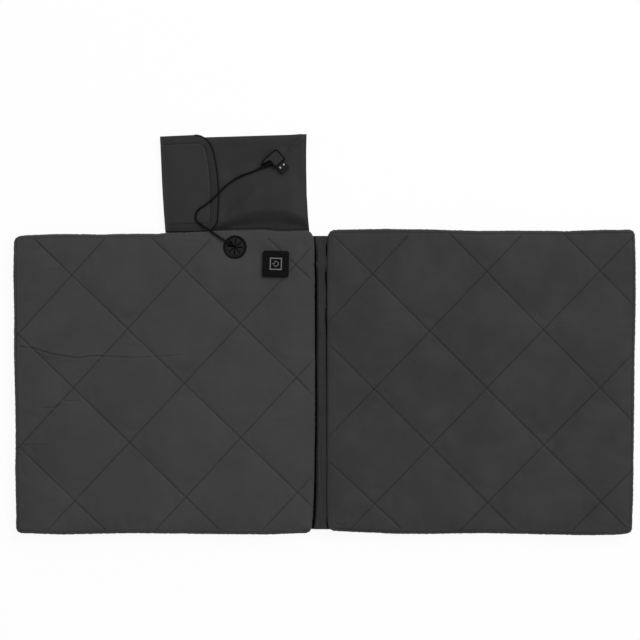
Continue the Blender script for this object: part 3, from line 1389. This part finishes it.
def flap_outline(across, along):
    """Rounds the flap's two free corners, cells and all."""
    out_x, out_y = across.copy(), along.copy()
    for corner_y, radius, way in ((0, FLAP_CORNERS[0], -1), (FLAP_SPAN, FLAP_CORNERS[1], 1)):
        over_x = np.maximum(across - (FLAP_REACH - radius), 0) / radius
        over_y = np.maximum(way * (along - corner_y) + radius, 0) / radius
        both = (over_x > 0) & (over_y > 0)
        reach = np.maximum(np.hypot(over_x, over_y), 1e-9)
        scale = np.where(both, np.maximum(over_x, over_y) / reach, 1)
        out_x = np.where(both, FLAP_REACH - radius + over_x * scale * radius, out_x)
        out_y = np.where(both, corner_y + way * (over_y * scale * radius - radius), out_y)
    return out_x, out_y


def flap_edge_distance(across, along):
    """How far inside the flap's free edges a point is, in mm, corners included."""
    away = np.minimum.reduce([FLAP_REACH - across, along, FLAP_SPAN - along])
    for corner_y, radius, way in ((0, FLAP_CORNERS[0], 1), (FLAP_SPAN, FLAP_CORNERS[1], -1)):
        centre_x, centre_y = FLAP_REACH - radius, corner_y + way * radius
        both = (across > centre_x) & (way * (along - centre_y) < 0)
        away = np.where(both, radius - np.hypot(across - centre_x, along - centre_y), away)
    return away


def flap_height(across, along):
    """The flap's middle height in mm: nearly flat, a little proud at the free edge."""
    local = np.column_stack([across, along, 0 * across]) * MM
    waves = 0.2 + 0.5 * noise_at(local, 34 * MM, 41) + 0.12 * noise_at(local, 9 * MM, 42)
    free = smooth_step(across, 0, 12)
    lift = 0.3 * smooth_step(across, FLAP_REACH - 12, FLAP_REACH)
    mouth_side = 0.9 * (1 - smooth_step(across, 0, 20)) * smooth_step(across, -0.1, 1.0)
    return FLAP_HEIGHT + (waves + lift) * free - mouth_side


def flap_place(across, along, height):
    """A flap point in the part's own frame, on the flap's real outline."""
    inward = along_strip(MOUTH_IN, along) * (1 - smooth_step(across, 0, 30))
    along = along - along_strip(FLAP_TUCK, across) * (1 - smooth_step(along, 0, 45))
    bow = along_strip(FLAP_BOW, along) / FLAP_REACH - 1
    across = inward + across * (1 + bow * smooth_step(across, 5, FLAP_REACH))
    return (
        np.array(FLAP_NEAR)
        + across[:, None] * MM * np.array(MOUTH_ACROSS)
        + along[:, None] * MM * np.array(MOUTH_ALONG)
        + np.column_stack([0 * height, 0 * height, height * MM])
    )


bm = cloth_grid(FLAP_REACH, FLAP_SPAN, 1.3, 1.5)
places = coordinates_of(bm)
across, along = flap_outline(places[:, 0], places[:, 1])
away = flap_edge_distance(across, along)
height = flap_height(across, along)
off_hem = (away - HEM + 1.6) / HEM_GROOVE_WIDTH
height -= HEM_GROOVE * np.exp(-(off_hem**2)) * smooth_step(across, 2, 6)
set_coordinates(bm, flap_place(across, along, height))
for face in bm.faces:
    corner = face.verts[0].index
    in_hem = min(away[vert.index] for vert in face.verts) < HEM - 2.2 and across[corner] > 3
    face.material_index = int(in_hem and FLAP_SPAN - along[corner] > FLAP_REACH - across[corner])
flap = make_piece("flap_sheet", bm, [flap_cloth, hem_cloth], "flap", mapped=True)
thicken(flap, FLAP_THICKNESS, 0)
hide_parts("flap_cloth")

# The upright stretch bulges a little outwards round the mouth
WRAP_BASE = 0.6
bm, share = unit_grid(10, 60)
rise, along = share[:, 0], share[:, 1] * FLAP_SPAN
across = 0.25 - 0.3 * np.sin(rise * pi)
local = np.column_stack([rise, along, 0 * along]) * np.array([0.004, 0.001, 0])
across += 0.15 * noise_at(local, 12 * MM, 43) * np.sin(rise * pi)
height = WRAP_BASE + (FLAP_HEIGHT - WRAP_BASE) * rise
set_coordinates(bm, flap_place(across, along, height))
flap_wrap = make_piece("flap_wrap_sheet", bm, [flap_cloth], "flap_wrap", mapped=True)
thicken(flap_wrap, FLAP_THICKNESS, 0)
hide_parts("flap_wrap_cloth")

# %% [markdown]
# A black overlocked thread wraps the flap's right edge and its near edge. It is a thin tube along
# the flap's outline, and the hem's stitches lie inside it.

# %% Flap edge and hem stitches
EDGE_RADIUS = 1.05


def flap_border(inset):
    """Points along the flap's free edges, as across and along in mm, from far to near."""
    r_near, r_far = FLAP_CORNERS[0] - inset, FLAP_CORNERS[1] - inset
    reach, far = FLAP_REACH - inset, FLAP_SPAN - inset
    turns = np.linspace(0, pi / 2, 10)
    points = [(a, far) for a in np.arange(2.0, reach - r_far, 3)]
    points += [(reach - r_far + r_far * sin(t), far - r_far + r_far * cos(t)) for t in turns]
    points += [(reach, b) for b in np.arange(far - r_far - 3, inset + r_near + 1, -3)]
    points += [(reach - r_near + r_near * cos(t), inset + r_near - r_near * sin(t)) for t in turns]
    points += [(a, inset) for a in np.arange(reach - r_near - 3, 2, -3)]
    return np.array(points)


def tube_along(name, line, radius, material, body):
    """A closed tube that follows a line of points."""
    bm = bmesh.new()
    line = [Vector(point) for point in line]
    rings = []
    for number, point in enumerate(line):
        ahead = (line[min(number + 1, len(line) - 1)] - line[max(number - 1, 0)]).normalized()
        place = Matrix.Translation(point) @ ahead.to_track_quat("Z", "Y").to_matrix().to_4x4()
        ring = bmesh.ops.create_circle(bm, segments=8, radius=radius, matrix=place)["verts"]
        rings.append(list(dict.fromkeys(edge for vert in ring for edge in vert.link_edges)))
        if number:
            bmesh.ops.bridge_loops(bm, edges=rings[-2] + rings[-1])
    for end in (rings[0], rings[-1]):
        bmesh.ops.edgeloop_fill(bm, edges=end)
    bmesh.ops.recalc_face_normals(bm, faces=bm.faces[:])
    return make_piece(name, bm, [material], body)


THREAD_INSET, THREAD_LIFT = 0.5, 0.25
border = flap_border(THREAD_INSET)
beside_far_corner = border[:, 0] > FLAP_REACH - FLAP_CORNERS[1] - 4
border = border[beside_far_corner | (border[:, 1] < FLAP_SPAN / 2)]
height = flap_height(border[:, 0], border[:, 1]) + THREAD_LIFT
edge_line = flap_place(border[:, 0], border[:, 1], height)
flap_edge = tube_along(
    "flap_edge_thread", edge_line, EDGE_RADIUS * MM, sewing_thread, "flap"
)
HEM_STITCH_STEP, HEM_STITCH_RUN = 3.2 * MM, 3.0 * MM
HEM_STITCH = {"pitch": 2.9 * MM, "radius": 0.28 * MM, "lift": 0.62 * MM}
bm = bmesh.new()
find = surface_below(flap)
hem_line = flap_border(HEM_STITCHES)
hem_line = flap_place(hem_line[:, 0], hem_line[:, 1], 0 * hem_line[:, 0])
lengths = np.concatenate([[0], np.cumsum(np.linalg.norm(np.diff(hem_line, axis=0), axis=1))])
for run in np.arange(2 * MM, lengths[-1] - 4 * MM, HEM_STITCH_STEP):
    a, b = (
        Vector([np.interp(at, lengths, hem_line[:, axis]) for axis in range(3)])
        for at in (run, run + HEM_STITCH_RUN)
    )
    stitch_row(bm, find, a.xy, b.xy, **HEM_STITCH)
hem_stitches = make_piece("flap_hem_stitches", bm, [sewing_thread], "flap")

# %% [markdown]
# The flap closes with hook and loop tape. Each tape is a thin woven backing with a rough pile,
# seen only when the flap is open.

# %% Hook and loop tapes
TAPE_MIDDLE = (48, 58)  # across and along from the pouch's near left corner, in mm
PILE_HEIGHT, PILE_BASE = 0.5, 0.35


def tape(name, width, length, level, pile, body, node):
    """A tape with a rough pile above or below its level, square to the pouch's mouth."""
    bm = cloth_grid(width, length, 0.9, 0.9)
    flat = coordinates_of(bm)
    near = Vector((*POUCH_NEAR_LEFT, 0)) + MOUTH_ALONG * (TAPE_MIDDLE[1] - length / 2)
    near += MOUTH_ACROSS * (TAPE_MIDDLE[0] - width / 2)
    places = np.array(near) + flat[:, :1] * np.array(MOUTH_ACROSS)
    places += flat[:, 1:2] * np.array(MOUTH_ALONG)
    middle = np.minimum.reduce([flat[:, 0], width - flat[:, 0], flat[:, 1], length - flat[:, 1]])
    rough = np.abs(noise_at(flat, 1.1, 51)) * smooth_step(middle, 0, 0.9)
    places[:, 2] = level - pile * PILE_BASE + pile * PILE_HEIGHT * rough
    set_coordinates(bm, places * MM)
    if pile < 0:
        bmesh.ops.reverse_faces(bm, faces=bm.faces[:])
    piece = make_piece(name, bm, [FINISHES["hook_and_loop"]], body, mapped=True)
    thicken(piece, 0.3 * MM, -1)
    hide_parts(node)


tape("loop_tape_pile", 16, 60, 7.5, 1, "pouch", "pouch_loop_tape")
tape("hook_tape_pile", 12, 54, 7.8, -1, "flap", "flap_hook_tape")

# %% [markdown]
# The strain relief is a soft cone with ribs, so that the cord bends a little at each one. A
# profile spun once round its own axis makes it, and it is then turned to the plug.

# %% Strain relief
RELIEF_START = Vector((125.5, 279.0, 11.0)) * MM
RELIEF_HEADING = Vector((0.901, 0.434, 0)).normalized()
RELIEF_RIBS, RELIEF_PITCH = 5, 2.1
RELIEF_NEAR, RELIEF_FAR = 0.3, 14.6
# Each point of the profile: radius, then how far along, in mm
RELIEF_PROFILE = [(1.35, RELIEF_NEAR), (1.85, RELIEF_NEAR), (2.0, 0.8)]
for rib in range(RELIEF_RIBS):
    along = 2.0 + rib * RELIEF_PITCH
    radius = 1.9 + 1.4 * along / 13.4
    RELIEF_PROFILE += [
        (radius + 0.12, along),
        (radius - 0.35, along + 0.35),
        (radius - 0.35, along + 0.95),
        (radius + 0.22, along + 1.3),
    ]
RELIEF_PROFILE += [(3.3, 12.9), (3.3, RELIEF_FAR)]
bm = spun(RELIEF_PROFILE, 28, closed=False)
bmesh.ops.remove_doubles(bm, verts=bm.verts[:], dist=0.002 * MM)
for height in (RELIEF_NEAR, RELIEF_FAR):
    at_end = {vert for vert in bm.verts if abs(vert.co.z - height * MM) < 1e-6}
    loop = [edge for edge in bm.edges if edge.is_boundary and at_end.issuperset(edge.verts)]
    bmesh.ops.edgeloop_fill(bm, edges=loop)
bmesh.ops.recalc_face_normals(bm, faces=bm.faces[:])
turn = RELIEF_HEADING.to_track_quat("Z", "Y").to_matrix().to_4x4()
bmesh.ops.transform(bm, matrix=Matrix.Translation(RELIEF_START) @ turn, verts=bm.verts[:])
strain_relief = make_piece(
    "plug_ribbed_relief", bm, [FINISHES["cord_sheath"]], "pouch"
)
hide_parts("plug_strain_relief")

# %% [markdown]
# The plug's moulding is a block with a web that runs back along the strain relief. It has a
# lighter soft-touch inlay inside a black rim. Its outline is drawn in plan with rounded corners
# and raised to its height, and the inlay is a bed a little lower than the rim round it.

# %% Plug moulding
PLUG_PLAN = [
    (142.6, 278.9), (156.0, 289.9), (143.8, 303.8), (126.6, 288.4), (123.9, 282.9),
    (125.9, 281.9), (136.1, 286.6),
]
INLAY_PLAN = [
    (142.7, 280.6), (153.6, 290.1), (143.7, 301.0), (128.3, 287.4), (127.0, 284.9),
    (136.6, 288.6),
]
PLUG_LOW, PLUG_HIGH = 7.3, 14.7
PLUG_ROUNDING = [1.0, 2.0, 4.5, 3.5, 0.8, 0.8, 1.0]
INLAY_ROUNDING = [0.8, 1.5, 3.5, 1.5, 0.8, 0.8]
PLUG_EDGE = 0.4
INLAY_DEPTH = 0.25


def rounded_plan(corners, sizes):
    """A polygon with each corner replaced by a short curve, in mm."""
    points = []
    corners = [Vector(corner) for corner in corners]
    neighbours = zip(corners[-1:] + corners[:-1], corners, corners[1:] + corners[:1], sizes)
    for before, here, after, size in neighbours:
        start = here + (before - here).normalized() * min(size, (before - here).length * 0.4)
        end = here + (after - here).normalized() * min(size, (after - here).length * 0.4)
        for t in np.linspace(0, 1, 5):
            points.append(start * (1 - t) ** 2 + here * 2 * t * (1 - t) + end * t**2)
    return points


def plan_inset(points, inset):
    """The same polygon moved inwards, point by point."""
    moved = []
    for before, here, after in zip(points[-1:] + points[:-1], points, points[1:] + points[:1]):
        run = (after - before).normalized()
        moved.append(here + Vector((-run.y, run.x)) * inset)
    return moved


def plan_ring(bm, points, height):
    """A closed ring of edges through the points at a height, all in mm."""
    verts = [bm.verts.new((*(point * MM), height * MM)) for point in points]
    return [bm.edges.new(pair) for pair in zip(verts, verts[1:] + verts[:1])]


bm = bmesh.new()
outline = rounded_plan(PLUG_PLAN, PLUG_ROUNDING)
inner = rounded_plan(INLAY_PLAN, INLAY_ROUNDING)
rings = [
    plan_ring(bm, plan_inset(outline, PLUG_EDGE), PLUG_LOW),
    plan_ring(bm, outline, PLUG_LOW + PLUG_EDGE),
    plan_ring(bm, outline, PLUG_HIGH - PLUG_EDGE),
    plan_ring(bm, plan_inset(outline, PLUG_EDGE), PLUG_HIGH),
]
lip_ring = plan_ring(bm, inner, PLUG_HIGH)
bed_ring = plan_ring(bm, inner, PLUG_HIGH - INLAY_DEPTH)
for lower, upper in [*zip(rings, rings[1:]), (lip_ring, bed_ring)]:
    bmesh.ops.bridge_loops(bm, edges=lower + upper)
bmesh.ops.triangle_fill(bm, edges=rings[0])
bmesh.ops.triangle_fill(bm, edges=rings[-1] + lip_ring)
bed = bmesh.ops.triangle_fill(bm, edges=bed_ring)["geom"]
for face in only(BMFace, bed):
    face.material_index = 1
bmesh.ops.recalc_face_normals(bm, faces=bm.faces[:])
plug_finishes = [FINISHES["plug_moulding"], FINISHES["plug_inlay"]]
plug_moulding = make_piece(
    "plug_moulding", bm, plug_finishes, "pouch", smooth=False
)
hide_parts("plug_body")

# %% [markdown]
# The real controller is a little smaller than the CAD's, so a copy of the CAD shell is drawn in
# outside its light frame.

# %% Controller shell
CONTROLLER_CENTRE = Vector((143.5, 154.5, 0)) * MM
CONTROLLER_TURN = radians(-1.5)
CONTROLLER_KEPT = 10 * MM
CONTROLLER_DRAWN = (0.94, 0.88)
bm = merged_copy("controller_housing")
into = Matrix.Rotation(-CONTROLLER_TURN, 4, "Z") @ Matrix.Translation(-CONTROLLER_CENTRE)
out_of = into.inverted()
for vert in bm.verts:
    local = into @ vert.co
    for axis, drawn in enumerate(CONTROLLER_DRAWN):
        away = abs(local[axis])
        drawn_to = min(away, CONTROLLER_KEPT) + max(away - CONTROLLER_KEPT, 0) * drawn
        local[axis] = drawn_to if local[axis] > 0 else -drawn_to
    vert.co = out_of @ local
finish = FINISHES["controller_shell"]
shell = make_piece("controller_shell", bm, [finish], "seat", smooth=False)
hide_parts("controller_housing")

# %% [markdown]
# The grommet has a raised rim and a thin membrane cut into eight petals. The cord pushes the
# petal below it down as it comes out. The rim is spun, and each petal is a small grid laid out in
# polar places round the middle.

# %% Grommet
GROMMET_CENTRE = Vector((90.8, 175.8, 20.0)) * MM
GROMMET_PROFILE = [
    (9.6, -3.2), (9.6, 0.0), (14.8, 0.0), (15.0, 0.3), (15.0, 0.9), (14.7, 1.25), (14.1, 1.35),
    (13.3, 1.3), (12.9, 1.05), (12.7, 0.7), (11.4, 0.66), (11.35, 0.06), (8.6, 0.02), (8.6, -3.2),
]
PETALS = 8
FIRST_SLIT = 84
SLIT_HALF_WIDTH = 0.6
PRESSED_PETAL = 1
PETAL_ROOT, PETAL_TIP = 11.4, 1.5
RIM_INNER, MEMBRANE_LOW = 12.7 * MM, 0.3 * MM
DISC_RADIUS, DISC_HEIGHT = 8.7 * MM, -3.1 * MM

bm = spun(GROMMET_PROFILE, 72, closed=True)
bmesh.ops.recalc_face_normals(bm, faces=bm.faces[:])
for face in bm.faces:
    middle = face.calc_center_median()
    face.material_index = int(middle.xy.length > RIM_INNER or middle.z < MEMBRANE_LOW)
place = Matrix.Translation((0, 0, DISC_HEIGHT))
disc = bmesh.ops.create_circle(bm, cap_ends=True, segments=48, radius=DISC_RADIUS, matrix=place)
for face in {face for vert in disc["verts"] for face in vert.link_faces}:
    face.material_index = 1
bmesh.ops.translate(bm, verts=bm.verts[:], vec=GROMMET_CENTRE)
rubbers = [FINISHES["grommet_rubber"], FINISHES["grommet_rim"]]
grommet_rim = make_piece("grommet_rim", bm, rubbers, "seat")
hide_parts("cable_grommet")


def petal_places(number, share):
    """One petal's places in mm, from shares across it and from its tip to its root."""
    radius = PETAL_TIP + share[:, 1] * (PETAL_ROOT - PETAL_TIP)
    gap = SLIT_HALF_WIDTH * (1 - smooth_step(radius, 9.4, 11.2)) / radius
    sector = 2 * pi / PETALS
    angle = radians(FIRST_SLIT) + number * sector + gap + share[:, 0] * (sector - 2 * gap)
    height = 0.62 + 0.3 * np.sin(share[:, 0] * pi) * share[:, 1] * (1 - share[:, 1]) * 4
    height -= (0.35 + 0.3 * sin(2.3 * number)) * (1 - share[:, 1]) ** 2
    if number == PRESSED_PETAL:
        radius = PETAL_ROOT - (PETAL_ROOT - radius) * 0.62
        height -= 3.3 * (1 - smooth_step(share[:, 1], 0.0, 1.0))
    return np.stack([radius * np.cos(angle), radius * np.sin(angle), height], 1)


bm = bmesh.new()
for number in range(PETALS):
    petal = bmesh.ops.create_grid(bm, x_segments=6, y_segments=9, size=0.5)["verts"]
    share = np.array([vert.co[:] for vert in petal]) + 0.5
    for vert, place in zip(petal, petal_places(number, share)):
        vert.co = GROMMET_CENTRE + Vector(place) * MM
bmesh.ops.recalc_face_normals(bm, faces=bm.faces[:])
petals = make_piece("grommet_petals", bm, [FINISHES["grommet_rubber"]], "seat")
thicken(petals, 0.6 * MM, -1)

# %% [markdown]
# The photograph was taken on white under soft light, so the floor is pale, reads as white to the
# camera and keeps a soft shadow. A wide lamp and an even sky light the part at a plain level.

# %% Floor and light
FLOOR_HALF, FLOOR_HEIGHT = 6, -0.4 * MM
FLOOR_GLOW = 0.93
SKY_LEVEL = 0.45
WHITE = (1, 1, 1, 1)
bm = bmesh.new()
place = Matrix.Translation((0.2, 0, FLOOR_HEIGHT))
bmesh.ops.create_grid(bm, x_segments=1, y_segments=1, size=FLOOR_HALF, matrix=place)
floor_mesh = bpy.data.meshes.new("floor")
bm.to_mesh(floor_mesh)
bm.free()
floor = add_object("floor", floor_mesh)
floor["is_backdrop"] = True


def seen_directly(tree):
    """1 for a ray from the camera, or one seen in metal or through glass."""
    path = add_node(tree, "ShaderNodeLightPath")
    seen = path.outputs["Is Camera Ray"]
    for kind in ("Is Glossy Ray", "Is Transmission Ray"):
        seen = calculated(tree, "MAXIMUM", seen, path.outputs[kind])
    return seen


floor_material = bpy.data.materials.new("white painted floor")
floor_material.use_nodes = True
tree = floor_material.node_tree
tree.nodes.clear()
paint = add_node(tree, "ShaderNodeBsdfDiffuse", None, {"Color": linear("F2F2F2")})
glow = add_node(tree, "ShaderNodeEmission", None, {"Color": WHITE, "Strength": 1.0})
share = calculated(tree, "MULTIPLY", seen_directly(tree), FLOOR_GLOW)
mixes = {0: share, 1: paint.outputs[0], 2: glow.outputs[0]}
mixed = add_node(tree, "ShaderNodeMixShader", None, mixes)
add_node(tree, "ShaderNodeOutputMaterial", None, {"Surface": mixed.outputs[0]})
floor_mesh.materials.append(floor_material)

world = bpy.data.worlds.new("sky")
world.use_nodes = True
bpy.context.scene.world = world
tree = world.node_tree
tree.nodes.clear()
level = remapped(tree, seen_directly(tree), SKY_LEVEL, 1.0)
sky = add_node(tree, "ShaderNodeBackground", None, {"Color": WHITE, "Strength": level})
add_node(tree, "ShaderNodeOutputWorld", None, {"Surface": sky.outputs[0]})

KEY_DISTANCE, KEY_WIDTH, KEY_POWER = 5.0, 3.15, 190
KEY_AIM = Vector((0.2, 0.0, 0.02))
KEY_TOWARD = Vector((0.5, 0.6, 1.0)).normalized()
key_data = bpy.data.lights.new("soft key", "AREA")
key_data.shape = "DISK"
key_data.size = KEY_WIDTH
key_data.energy = KEY_POWER
key = add_object("soft key", key_data)
key.visible_camera = False
key.location = KEY_AIM + KEY_TOWARD * KEY_DISTANCE
key.rotation_euler = KEY_TOWARD.to_track_quat("Z", "Y").to_euler()
print("sky", SKY_LEVEL, "key", key_data.energy)

# %% [markdown]
# The cord is declared last, with its plug, and the sizes of the CAD model and of the dressed part
# are written down so that they can be compared.

# %% Finish
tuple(cord_line[0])
[tuple(point) for point in cord_line]
low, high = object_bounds()
sizes = {"cad": [list(cad_low), list(cad_high)], "visual": [list(low), list(high)]}
print({key: [[round(v, 4) for v in corner] for corner in box] for key, box in sizes.items()})
